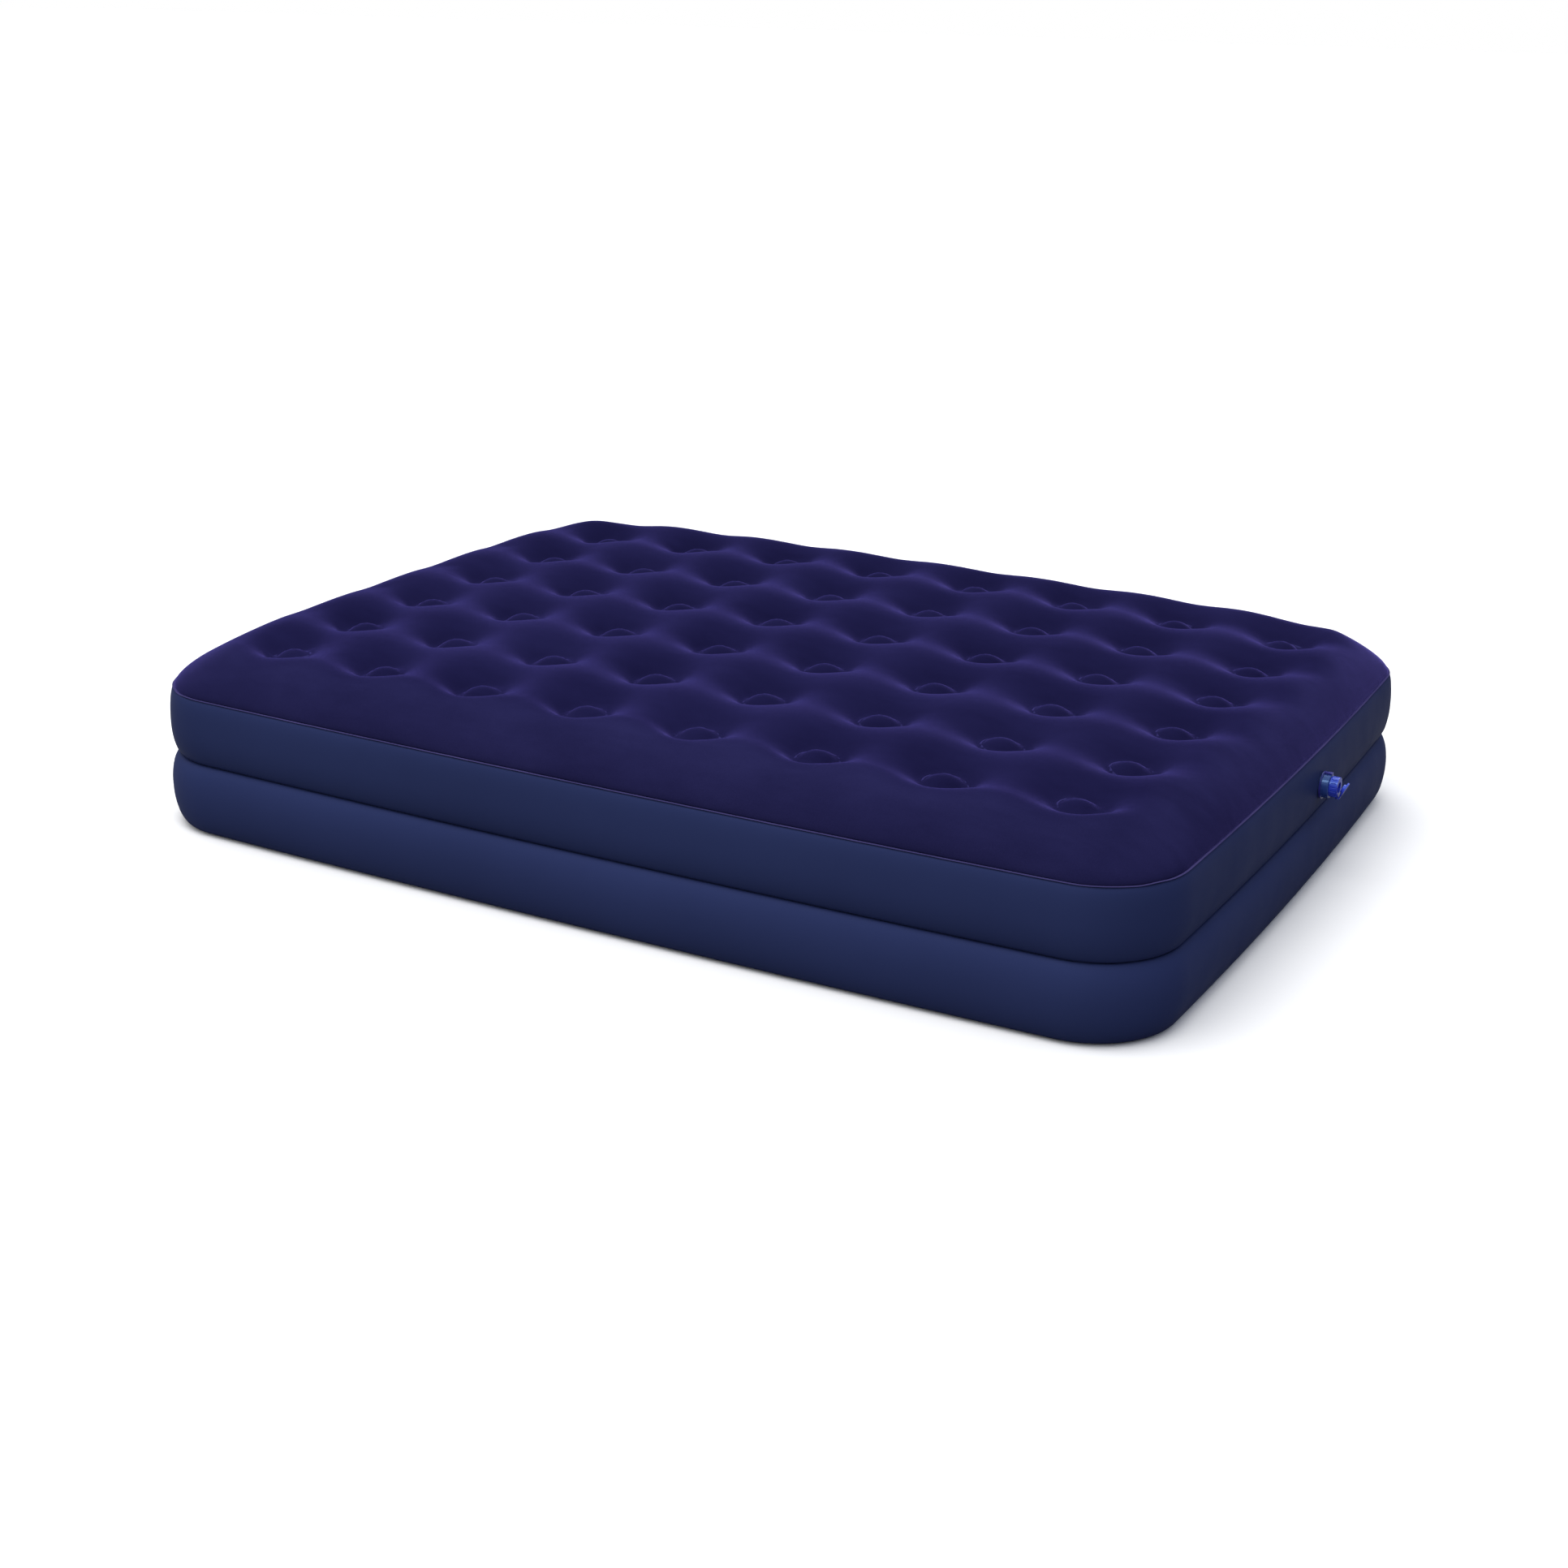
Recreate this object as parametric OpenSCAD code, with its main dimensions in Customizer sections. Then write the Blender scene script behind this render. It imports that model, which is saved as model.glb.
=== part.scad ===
/* [Bed] */
// Overall length over the bulging end walls, valve left out
bed_length = 2030; // [1900:10:2130]
// Overall width over the bulging side walls
bed_width = 1520; // [1490:10:1600]
// Height of the flocked top between its dimples
bed_height = 358; // [352:2:390]
// Radius of the rounded corners in plan
corner_r = 140; // [120:5:170]
// How far each side bows out at its middle, from the air pressure
bow = 16; // [8:1:20]

/* [Tiers] */
// Height of the seam between the flocked top and the upper side wall
seam_z = 265; // [258:1:272]
// Height of the waist, where the two tiers are welded together
waist_z = 138; // [130:1:146]
// How far the upper tier's wall bulges out past the seam
upper_bulge = 11; // [9:1:14]
// How far the lower tier's wall bulges out past the seam
lower_bulge = 15; // [9:1:20]
// How far the lower wall tucks in where it meets the floor
foot_tuck = 11; // [6:1:18]
// Width of the rounded shoulder between the seam and the flat of the top
shoulder_w = 104; // [96:2:106]

/* [Sheets] */
// Thickness of the flocked top sheet
top_t = 1.2; // [1:0.1:1.6]
// Thickness of the plain vinyl sheets and walls
sheet_t = 0.8; // [0.6:0.1:1]
// Thickness of a welded seam
seam_t = 1.6; // [1.2:0.2:2]
// How far the top seam's welded edge stands proud of the wall
seam_proud = 3; // [1:0.5:3]
// Radius of the vent holes that let air through the middle sheet
vent_r = 12; // [8:1:16]

/* [Coil beams] */
// Distance between coil beams along the length
pitch_x = 224; // [215:1:224]
// Distance between coil beams across the width
pitch_y = 217; // [214:1:218]
// How far the grid of coil beams sits towards the valve's end
grid_x = 8; // [0:1:8]
// How far the grid of coil beams sits towards the left side, seen from the valve's end
grid_y = 4; // [0:1:4]
// Outer radius of a coil beam's tube
beam_r = 40; // [36:1:44]
// Depth of the dimples in the middle of the bed
dimple_depth = 42; // [36:1:50]
// Radius of a dimple's mouth
dimple_r = 76; // [70:1:80]
// Height of the air slot at the foot of each tube
slot_h = 10; // [6:1:16]

/* [Valve] */
// Distance of the valve from the bed's centre line
valve_y = 85; // [-200:5:200]
// Height of the valve's axis
valve_z = 200; // [196:1:204]
// Radius of the collar that stands out of the wall
collar_r = 22; // [21:0.5:24]
// How far the collar stands out of the wall
collar_len = 17; // [14:1:22]
// Radius of the plug's grip
grip_r = 18.5; // [18:0.5:20]
// Length of the plug's grip
grip_len = 14; // [12:1:20]
// Radius of the port that takes a pump's nozzle
port_r = 10; // [9:0.5:11]
// Radius of the lid
lid_r = 13.5; // [12.5:0.5:14.5]
// Angle that the lid stands open
lid_open = 25; // [0:5:60]

/* [Hidden] */
COLS = 8;
ROWS = 6;

NAVY_FLOCK = [0.17, 0.15, 0.36];
NAVY_VINYL = [0.13, 0.16, 0.29];
SEAM_VIOLET = [0.25, 0.22, 0.42];
BEAM_BLUE = [0.20, 0.24, 0.42];
VALVE_BLUE = [0.25, 0.35, 0.95];

// Plan outline at the seam: half sizes before the bow is added
half_x = bed_length / 2 - bow - lower_bulge;
half_y = bed_width / 2 - bow - lower_bulge;
CORNER_STEPS = 8;
EDGE_STEPS = 8;
ARC_STEPS = 4;
DOME_STEPS = 6;

// Gap kept between pieces that move apart
clear = 0.4;
// Gap between a face and the face it closes against
seat_gap = 0.3;
// How far neighbouring shells run into each other where they are one piece
lap = 3;

corner_sign = [[1, 1], [-1, 1], [-1, -1], [1, -1]];
function corner_arc(k) = [for (j = [0:CORNER_STEPS])
    let (turn = 90 * k + 90 * j / CORNER_STEPS)
    [corner_sign[k].x * (half_x - corner_r) + corner_r * cos(turn),
     corner_sign[k].y * (half_y - corner_r) + corner_r * sin(turn),
     turn]];
function last(list) = list[len(list) - 1];
function edge_run(k) =
    let (from = last(corner_arc(k)), to = corner_arc((k + 1) % 4)[0])
    [for (j = [1:EDGE_STEPS - 1])
        let (s = j / EDGE_STEPS)
        [from.x + s * (to.x - from.x), from.y + s * (to.y - from.y), 90 * (k + 1)]];

// A point of the plan, moved outwards by the air pressure that bows the sides
function bowed(x, y) =
    [x + bow * x / half_x * (1 - pow(y / half_y, 2)), y + bow * y / half_y * (1 - pow(x / half_x, 2))];

// The outline as [x, y, direction that the side faces], bowed out between its corners
rim = [for (k = [0:3]) for (p = concat(corner_arc(k), edge_run(k)))
    let (at = bowed(p.x, p.y)) [at.x, at.y, p.z]];
function outline(out) = [for (p = rim) [p.x + out * cos(p.z), p.y + out * sin(p.z)]];

// A closed ring round the bed: its section is a list of [distance out from the seam line, height]
module ring(section) {
    sides = len(rim);
    count = len(section);
    points = [for (s = section) for (p = outline(s.x)) [p.x, p.y, s.y]];
    function at(i, j) = (i % count) * sides + j % sides;
    faces = [for (i = [0:count - 1]) for (j = [0:sides - 1]) each [
        [at(i, j), at(i + 1, j), at(i + 1, j + 1)],
        [at(i, j), at(i + 1, j + 1), at(i, j + 1)]]];
    polyhedron(points, faces);
}

module flat_ring(inner, outer, low, high) {
    ring([[inner, low], [outer, low], [outer, high], [inner, high]]);
}

// One wall's skin, from [out, height] at its foot over its bulge to [out, height] at its head
function wall_arc(foot, crest, head, inset) = [for (k = [-ARC_STEPS:ARC_STEPS])
    let (turn = 90 * k / ARC_STEPS, end = k < 0 ? foot : head)
    [end.x + (crest.x - end.x - inset) * cos(turn),
     crest.y + (abs(end.y - crest.y) - inset) * sin(turn)]];
function reversed(list) = [for (k = [len(list) - 1:-1:0]) list[k]];
module wall(foot, crest, head) {
    ring(concat(wall_arc(foot, crest, head, 0), reversed(wall_arc(foot, crest, head, sheet_t))));
}

// The shoulder's curve, fuller than a bevel and softer than a quarter circle
SHOULDER_POWER = 1.8;
function shoulder(width, rise) = [for (k = [0:DOME_STEPS])
    let (s = 1 - cos(90 * k / DOME_STEPS))
    [-width * s, rise * pow(1 - pow(1 - s, SHOULDER_POWER), 1 / SHOULDER_POWER)]];

// Where the coil beams stand: the rows spread slightly towards the bed's middle
ROW_SPREAD = 0.04;
function col_of(i) = i - (COLS - 1) / 2;
function row_of(j) = j - (ROWS - 1) / 2;
function end_share(i) = pow(col_of(i) / ((COLS - 1) / 2), 2);
function beam_at(i, j) = bowed(
    grid_x + pitch_x * col_of(i), pitch_y * row_of(j) * (1 + ROW_SPREAD * (1 - end_share(i))) - grid_y);
// The dimples are deeper towards the ends of the bed
END_DEEPER = 10;
SLOT_W = 16;
function dimple_floor(i) = bed_height - dimple_depth - END_DEEPER * end_share(i);

valve_x = half_x + bow * (1 - pow(valve_y / half_y, 2)) + upper_bulge;
plug_end = valve_x - 6;
collar_end = valve_x + collar_len;
mouth_x = collar_end + seat_gap + grip_len;
bore_r = collar_r - 5;
skirt_r = bore_r - 0.05;
chamber_r = bore_r - 2;
web_x = mouth_x - grip_len - 7;
web_t = 2;
hinge_at = [mouth_x + 1.8, -(grip_r + 1)];
flap_t = 1;
flap_r = chamber_r - 2.5;
strap_w = 10;

module top_sheet() {
    rise = bed_height - seam_z - seam_t / 2;
    shell = concat(shoulder(shoulder_w, rise), reversed(shoulder(shoulder_w - top_t, rise - top_t)));
    inner_from = len(shell) / 2;
    section = [for (k = [0:len(shell) - 1])
        [shell[k].x - (k < inner_from ? 0 : top_t), shell[k].y + seam_z + seam_t / 2]];
    color(NAVY_FLOCK) {
        ring(section);
        difference() {
            translate([0, 0, bed_height - top_t - 0.1])
                linear_extrude(top_t - 0.2) polygon(outline(-shoulder_w + lap));
            for (j = [0:ROWS - 1]) for (i = [0:COLS - 1])
                translate(beam_at(i, j)) translate([0, 0, bed_height - 2 * top_t])
                    cylinder(h = 4 * top_t, r = dimple_r, $fn = 48);
        }
        for (j = [0:ROWS - 1]) for (i = [0:COLS - 1])
            translate(beam_at(i, j)) dimple(dimple_floor(i));
    }
}

// A funnel from the flat of the top down to the disc that is welded to a beam
module dimple(floor_z) {
    lip_top = bed_height - 0.3;
    lip_low = lip_top - 0.6;
    disc_r = beam_r + 4;
    rotate_extrude($fn = 48)
        polygon([[0, floor_z], [disc_r, floor_z], [dimple_r - 1, lip_top], [dimple_r + lap, lip_top],
                 [dimple_r + lap, lip_low], [dimple_r, lip_low], [disc_r + 1, floor_z - top_t],
                 [0, floor_z - top_t]]);
}

module top_seam_flange() {
    color(SEAM_VIOLET) flat_ring(-8, seam_proud, seam_z - seam_t / 2, seam_z + seam_t / 2);
}

module upper_side_wall() {
    gap = seam_t / 2 + clear;
    crest_z = waist_z + 0.48 * (seam_z - waist_z);
    color(NAVY_VINYL) difference() {
        wall([0, waist_z + gap], [upper_bulge, crest_z], [0, seam_z - gap]);
        translate([valve_x - 20, valve_y, valve_z]) rotate([0, 90, 0])
            cylinder(h = 40, r = collar_r + 1.5, $fn = 64);
    }
}

module waist_seam() {
    color(NAVY_VINYL) flat_ring(-10, 1.5, waist_z - seam_t / 2, waist_z + seam_t / 2);
}

module middle_sheet() {
    color(BEAM_BLUE) translate([0, 0, waist_z - sheet_t / 2]) linear_extrude(sheet_t)
        difference() {
            polygon(outline(-10.2));
            for (sx = [-1, 1]) for (sy = [-1, 1])
                translate([grid_x + sx * pitch_x, sy * pitch_y - grid_y]) circle(r = vent_r, $fn = 48);
        }
}

module lower_side_wall() {
    foot_z = sheet_t + seam_t + seat_gap;
    head_z = waist_z - seam_t / 2 - clear;
    crest_z = foot_z + 0.56 * (head_z - foot_z);
    color(NAVY_VINYL) wall([-foot_tuck, foot_z], [lower_bulge, crest_z], [0, head_z]);
}

module bottom_seam_flange() {
    color(NAVY_VINYL) flat_ring(-foot_tuck - 12, -foot_tuck + 1, sheet_t, sheet_t + seam_t);
}

module bottom_sheet() {
    color(NAVY_VINYL) linear_extrude(sheet_t) polygon(outline(-foot_tuck));
}

module beam_row(j, low, tops) {
    color(BEAM_BLUE) for (i = [0:COLS - 1])
        translate(beam_at(i, j)) translate([0, 0, low]) beam(tops[i] - low);
}

// A tube with a welding hem at each end and an air slot through its foot
module beam(height) {
    hem_r = beam_r + 3;
    difference() {
        rotate_extrude($fn = 64)
            polygon([[beam_r - sheet_t, 0], [hem_r, 0], [hem_r, sheet_t], [beam_r, sheet_t],
                     [beam_r, height - sheet_t], [hem_r, height - sheet_t], [hem_r, height],
                     [beam_r - sheet_t, height]]);
        translate([-beam_r - 2, -SLOT_W / 2, 3]) cube([2 * beam_r + 4, SLOT_W, slot_h]);
    }
}

module upper_beam_row(j) {
    tops = [for (i = [0:COLS - 1]) dimple_floor(i) - top_t - clear];
    beam_row(j, waist_z + sheet_t / 2 + clear, tops);
}

module lower_beam_row(j) {
    top = waist_z - sheet_t / 2 - clear;
    beam_row(j, sheet_t + 0.1, [for (i = [0:COLS - 1]) top]);
}

// Puts a shape drawn about the Z axis on the valve's axis, with its Z along +X from x
module on_valve(x) {
    translate([x, valve_y, valve_z]) rotate([0, 90, 0]) children();
}

module tube(length, outer, inner) {
    difference() {
        cylinder(h = length, r = outer, $fn = 96);
        translate([0, 0, -1]) cylinder(h = length + 2, r = inner, $fn = 96);
    }
}

module valve_base() {
    flange_t = 1.4;
    back = valve_x - 5.2;
    color(VALVE_BLUE) difference() {
        union() {
            on_valve(back) cylinder(h = flange_t, r = collar_r + 13, $fn = 96);
            on_valve(back) cylinder(h = collar_end - back, r = collar_r, $fn = 96);
        }
        on_valve(back - 1) cylinder(h = collar_end - back + 2, r = bore_r, $fn = 96);
    }
}

module valve_plug() {
    ribs = 16;
    rib_r = 1.2;
    grip_x = collar_end + seat_gap;
    color(VALVE_BLUE) {
        on_valve(plug_end) tube(web_x + web_t - plug_end, skirt_r, chamber_r);
        on_valve(web_x) tube(grip_x + 1 - web_x, skirt_r, port_r);
        difference() {
            on_valve(grip_x) cylinder(h = grip_len, r = grip_r, $fn = 96);
            on_valve(grip_x - 1) cylinder(h = grip_len + 2, r = port_r, $fn = 96);
            for (k = [0:ribs - 1])
                on_valve(grip_x + 2) rotate(360 * (k + 0.5) / ribs) translate([grip_r, 0, 0])
                    cylinder(h = grip_len - 4, r = rib_r, $fn = 24);
        }
        translate([mouth_x - 4, valve_y - strap_w / 2, valve_z - grip_r - 2])
            cube([4, strap_w, 3]);
    }
}

module plug_tether() {
    tab_w = 9;
    band_t = 2;
    low = collar_r + 0.6;
    color(VALVE_BLUE) {
        on_valve(valve_x + 1.5) tube(2.5, low + 2.4, low - 0.3);
        translate([valve_x + 2, valve_y - tab_w / 2, valve_z + low])
            cube([collar_len - 1, tab_w, band_t]);
    }
}

module check_flap() {
    color("lightsteelblue") on_valve(web_x - flap_t - seat_gap)
        cylinder(h = flap_t, r = flap_r, $fn = 64);
}

// Turns what is drawn closed on the plug's mouth about the strap's bend
module lid_swing() {
    translate([hinge_at.x, valve_y, valve_z + hinge_at.y]) rotate([0, lid_open, 0])
        translate([-hinge_at.x, -valve_y, -valve_z - hinge_at.y]) children();
}

lid_x = mouth_x + clear;
lid_t = 3;
module valve_lid() {
    nub_len = 3.5;
    color(VALVE_BLUE) lid_swing() {
        on_valve(lid_x) cylinder(h = lid_t, r = lid_r, $fn = 96);
        on_valve(lid_x - nub_len)
            cylinder(h = nub_len + 1, r1 = port_r - 2.5, r2 = port_r - 0.6, $fn = 64);
    }
}

module lid_strap() {
    bar_r = 1.4;
    color(VALVE_BLUE) lid_swing() {
        translate([hinge_at.x, valve_y - strap_w / 2, valve_z + hinge_at.y]) rotate([-90, 0, 0])
            cylinder(h = strap_w, r = bar_r, $fn = 48);
        difference() {
            translate([lid_x + 0.4, valve_y - strap_w / 2, valve_z + hinge_at.y])
                cube([lid_t - 0.8, strap_w, -hinge_at.y - lid_r + 2]);
            on_valve(lid_x - 1) cylinder(h = lid_t + 2, r = lid_r, $fn = 96);
        }
    }
}

top_sheet();
top_seam_flange();
upper_side_wall();
waist_seam();
middle_sheet();
lower_side_wall();
bottom_seam_flange();
bottom_sheet();
for (r = [1:ROWS]) {
    upper_beam_row(r - 1);
    lower_beam_row(r - 1);
}
valve_base();
valve_plug();
plug_tether();
check_flap();
valve_lid();
lid_strap();
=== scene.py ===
import math

import bpy
import numpy as np
from mathutils import Matrix, Vector


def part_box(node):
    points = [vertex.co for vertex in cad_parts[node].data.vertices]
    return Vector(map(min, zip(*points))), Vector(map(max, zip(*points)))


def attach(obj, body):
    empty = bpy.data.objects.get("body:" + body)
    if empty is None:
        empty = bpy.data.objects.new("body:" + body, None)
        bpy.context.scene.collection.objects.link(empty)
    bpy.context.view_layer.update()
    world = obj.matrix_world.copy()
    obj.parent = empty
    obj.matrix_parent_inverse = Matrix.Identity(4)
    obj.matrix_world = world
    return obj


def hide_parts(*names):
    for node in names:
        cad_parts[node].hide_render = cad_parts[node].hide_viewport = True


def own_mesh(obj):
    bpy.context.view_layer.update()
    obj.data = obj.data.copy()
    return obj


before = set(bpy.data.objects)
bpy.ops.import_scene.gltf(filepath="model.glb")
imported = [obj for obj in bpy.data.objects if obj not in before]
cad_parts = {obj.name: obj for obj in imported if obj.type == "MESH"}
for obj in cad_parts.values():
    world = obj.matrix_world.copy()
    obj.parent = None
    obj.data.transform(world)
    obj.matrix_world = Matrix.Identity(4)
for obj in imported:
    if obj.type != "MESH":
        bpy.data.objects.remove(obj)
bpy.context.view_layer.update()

# ---------------------------------------------------------------- sizes, in metres, from the frame
flange_low, flange_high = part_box("top_seam_flange")
_, upper_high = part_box("upper_side_wall")
waist_low, waist_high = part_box("waist_seam")
_, lower_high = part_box("lower_side_wall")
base_low, base_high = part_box("bottom_sheet")
_, front_row_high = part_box("upper_coil_beams_row_1")
back_row_low, back_row_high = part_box("upper_coil_beams_row_6")

BOW = 0.016                 # how far the middle of each side stands out
CORNER_R = 0.140            # the round corners of the plan
FLANGE_PROUD = 0.003        # how far the top seam's flange stands out of the walls
COLS, ROWS = 8, 6           # coil beams along and across the bed

HALF_X = flange_high[0] - FLANGE_PROUD - BOW
HALF_Y = flange_high[1] - FLANGE_PROUD - BOW
SEAM_Z = (flange_low[2] + flange_high[2]) / 2
WAIST_Z = (waist_low[2] + waist_high[2]) / 2
UPPER_BULGE = upper_high[0] - HALF_X - BOW
LOWER_BULGE = lower_high[0] - HALF_X - BOW
FOOT_TUCK = HALF_X + BOW - base_high[0]
WAIST_TUCK = 0.006          # how far the waist crease is drawn in

BEAM_R = 0.040
HEM_R = BEAM_R + 0.003      # the welding hem at each end of a beam
UNBOW_STEPS = 6


def bowed(x, y):
    """The plan is bowed out at the middle of each side by the air pressure."""
    return (x + BOW * x / HALF_X * (1 - (y / HALF_Y) ** 2),
            y + BOW * y / HALF_Y * (1 - (x / HALF_X) ** 2))


def unbowed(x, y):
    """The point of the unbowed plan that bowed() moves to x, y, found by repeated guesses."""
    u, v = x, y
    for _ in range(UNBOW_STEPS):
        stretch_x = 1 + BOW / HALF_X * (1 - (v / HALF_Y) ** 2)
        stretch_y = 1 + BOW / HALF_Y * (1 - (u / HALF_X) ** 2)
        u, v = x / stretch_x, y / stretch_y
    return u, v


# The coil beams stand on a grid. Its rows spread a little at the middle of the bed.
left_x, back_y = unbowed(back_row_low[0] + HEM_R, back_row_low[1] + HEM_R)
right_x, front_y = unbowed(back_row_high[0] - HEM_R, front_row_high[1] - HEM_R)
GRID_X, GRID_Y = (left_x + right_x) / 2, (back_y + front_y) / 2
PITCH_X = (right_x - left_x) / (COLS - 1)
PITCH_Y = (back_y - front_y) / (ROWS - 1)
middle_y = unbowed(GRID_X + PITCH_X / 2, back_row_high[1] - HEM_R)[1]
ROW_SPREAD = ((middle_y - GRID_Y) / (PITCH_Y * (ROWS - 1) / 2) - 1) / (1 - 1 / (COLS - 1) ** 2)
END_DEEPER = 0.0095         # how much deeper the dimples are at the two ends of the bed
PIT_Z = back_row_high[2]

FILM_T = 0.0007             # thickness of the walls and the underside
TOP_T = 0.0012
BEAM_T = 0.0006
WELD_GAP = 0.0008           # between a wall's edge and the middle of the waist weld


# ---------------------------------------------------------------- plan of the bed
def inside_distance(x, y):
    """How far a point of the unbowed plan lies inside its outline."""
    qx = np.abs(x) - (HALF_X - CORNER_R)
    qy = np.abs(y) - (HALF_Y - CORNER_R)
    outside = np.hypot(np.maximum(qx, 0), np.maximum(qy, 0))
    return CORNER_R - outside - np.minimum(np.maximum(qx, qy), 0)


def rim_points(count):
    """Points evenly spaced round the bowed outline at the seam, with the way each one faces."""
    straight_x, straight_y = 2 * (HALF_X - CORNER_R), 2 * (HALF_Y - CORNER_R)
    arc = CORNER_R * math.pi / 2
    lengths = [arc, straight_x, arc, straight_y] * 2
    total = sum(lengths)
    points = []
    for k in range(count):
        s = total * k / count
        part = 0
        while s >= lengths[part]:
            s -= lengths[part]
            part += 1
        quarter, straight = divmod(part, 2)
        sx = 1 if quarter in (0, 3) else -1
        sy = 1 if quarter in (0, 1) else -1
        turn = math.pi / 2 * (quarter + (1 if straight else s / arc))
        cx, cy = sx * (HALF_X - CORNER_R), sy * (HALF_Y - CORNER_R)
        x, y = cx + CORNER_R * math.cos(turn), cy + CORNER_R * math.sin(turn)
        if straight:
            x -= s * math.sin(turn)
            y += s * math.cos(turn)
        points.append((*bowed(x, y), math.cos(turn), math.sin(turn)))
    return np.array(points)


def beam_centres():
    """Where the coil beams stand, row after row."""
    found = []
    for j in range(ROWS):
        for i in range(COLS):
            col, row = i - (COLS - 1) / 2, j - (ROWS - 1) / 2
            ends = (col / ((COLS - 1) / 2)) ** 2
            found.append(bowed(GRID_X + PITCH_X * col,
                               GRID_Y + PITCH_Y * row * (1 + ROW_SPREAD * (1 - ends))))
    return found


# ---------------------------------------------------------------- making pieces
def add_mesh(name, points, faces, material, smooth=True):
    """A new object from points and faces, with one material."""
    mesh = bpy.data.meshes.new(name)
    mesh.from_pydata([tuple(p) for p in points], [], faces)
    mesh.update()
    mesh.materials.append(material)
    mesh.polygons.foreach_set("use_smooth", [smooth] * len(mesh.polygons))
    obj = bpy.data.objects.new(name, mesh)
    bpy.context.collection.objects.link(obj)
    return obj


def apply_modifiers(obj):
    """Keeps the shape that an object's modifiers give it, and drops the modifiers."""
    graph = bpy.context.evaluated_depsgraph_get()
    mesh = bpy.data.meshes.new_from_object(obj.evaluated_get(graph))
    obj.modifiers.clear()
    obj.data = mesh


def thicken(obj, thickness):
    """Gives an open skin its thickness, inwards."""
    solid = obj.modifiers.new("thickness", "SOLIDIFY")
    solid.thickness = thickness
    solid.offset = -1
    apply_modifiers(obj)


def soften_with_air(obj, slot, *nodes):
    """A soft piece, carried with the base, that stands for its CAD nodes, which are hidden."""
    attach(obj, "base")
    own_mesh(obj)
    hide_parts(*nodes)


def sweep(name, rim, sections, material, closed=False):
    """A skin round the bed. sections is one (out, height) pair of arrays for each ring."""
    count, rings = len(rim), len(sections)
    points = []
    for out, height in sections:
        x = rim[:, 0] + rim[:, 2] * out
        y = rim[:, 1] + rim[:, 3] * out
        points.append(np.stack([x, y, np.broadcast_to(height, x.shape)], 1))
    faces = []
    for i in range(rings if closed else rings - 1):
        low, high = i * count, (i + 1) % rings * count
        for j in range(count):
            k = (j + 1) % count
            faces.append((low + j, low + k, high + k, high + j))
    return add_mesh(name, np.concatenate(points), faces, material)


def closed_ring_faces(start, around, sides):
    """The faces of a ring of closed sections, each joined to the next and the last to the first."""
    faces = []
    for k in range(around):
        here, there = start + k * sides, start + (k + 1) % around * sides
        faces += [(here + m, there + m, there + (m + 1) % sides, here + (m + 1) % sides)
                  for m in range(sides)]
    return faces


# ---------------------------------------------------------------- materials
PAINTED_HOLLOW_SHADE = (0.68, 0.66, 0.74)        # painted shade: how much darker the flock is painted in the hollows between the shoulders
SHEEN_TINT = (0.185, 0.15, 0.60, 1)
VINYL_SPECULAR = 0.015
VINYL_IOR = 1.52
CLEAR_TINT = (0.3, 0.6, 1, 1)
WHITE = (1.0, 1.0, 1.0)


def new_material(name):
    """A material with its node tree and its shader."""
    mat = bpy.data.materials.new(name)
    mat.use_nodes = True
    nodes = mat.node_tree.nodes
    return mat, mat.node_tree, nodes["Principled BSDF"]


def noise(tree, scale, detail=4.0, roughness=0.55, stretch=(1, 1, 1)):
    """Noise in object space, so that it stays with the piece."""
    coords = tree.nodes.new("ShaderNodeTexCoord")
    mapping = tree.nodes.new("ShaderNodeMapping")
    mapping.inputs["Scale"].default_value = stretch
    tex = tree.nodes.new("ShaderNodeTexNoise")
    tex.inputs["Scale"].default_value = scale
    tex.inputs["Detail"].default_value = detail
    tex.inputs["Roughness"].default_value = roughness
    tree.links.new(coords.outputs["Object"], mapping.inputs["Vector"])
    tree.links.new(mapping.outputs["Vector"], tex.inputs["Vector"])
    return tex.outputs["Fac"]


def ramp(tree, value, low, high, low_at=0.3, high_at=0.7):
    """Turns a value into a colour between low and high."""
    node = tree.nodes.new("ShaderNodeValToRGB")
    node.color_ramp.elements[0].position = low_at
    node.color_ramp.elements[0].color = (*low, 1)
    node.color_ramp.elements[1].position = high_at
    node.color_ramp.elements[1].color = (*high, 1)
    tree.links.new(value, node.inputs["Fac"])
    return node.outputs["Color"]


def mix(tree, first, second, share):
    """The first colour, multiplied by a share of the second."""
    node = tree.nodes.new("ShaderNodeMix")
    node.data_type = "RGBA"
    node.blend_type = "MULTIPLY"
    node.inputs["Factor"].default_value = share
    tree.links.new(first, node.inputs["A"])
    tree.links.new(second, node.inputs["B"])
    return node.outputs["Result"]


def bump(tree, height, strength, distance, below=None):
    """Relief from a height, laid over the relief below it if there is any."""
    node = tree.nodes.new("ShaderNodeBump")
    node.inputs["Strength"].default_value = strength
    node.inputs["Distance"].default_value = distance
    tree.links.new(height, node.inputs["Height"])
    if below:
        tree.links.new(below, node.inputs["Normal"])
    return node.outputs["Normal"]


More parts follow.
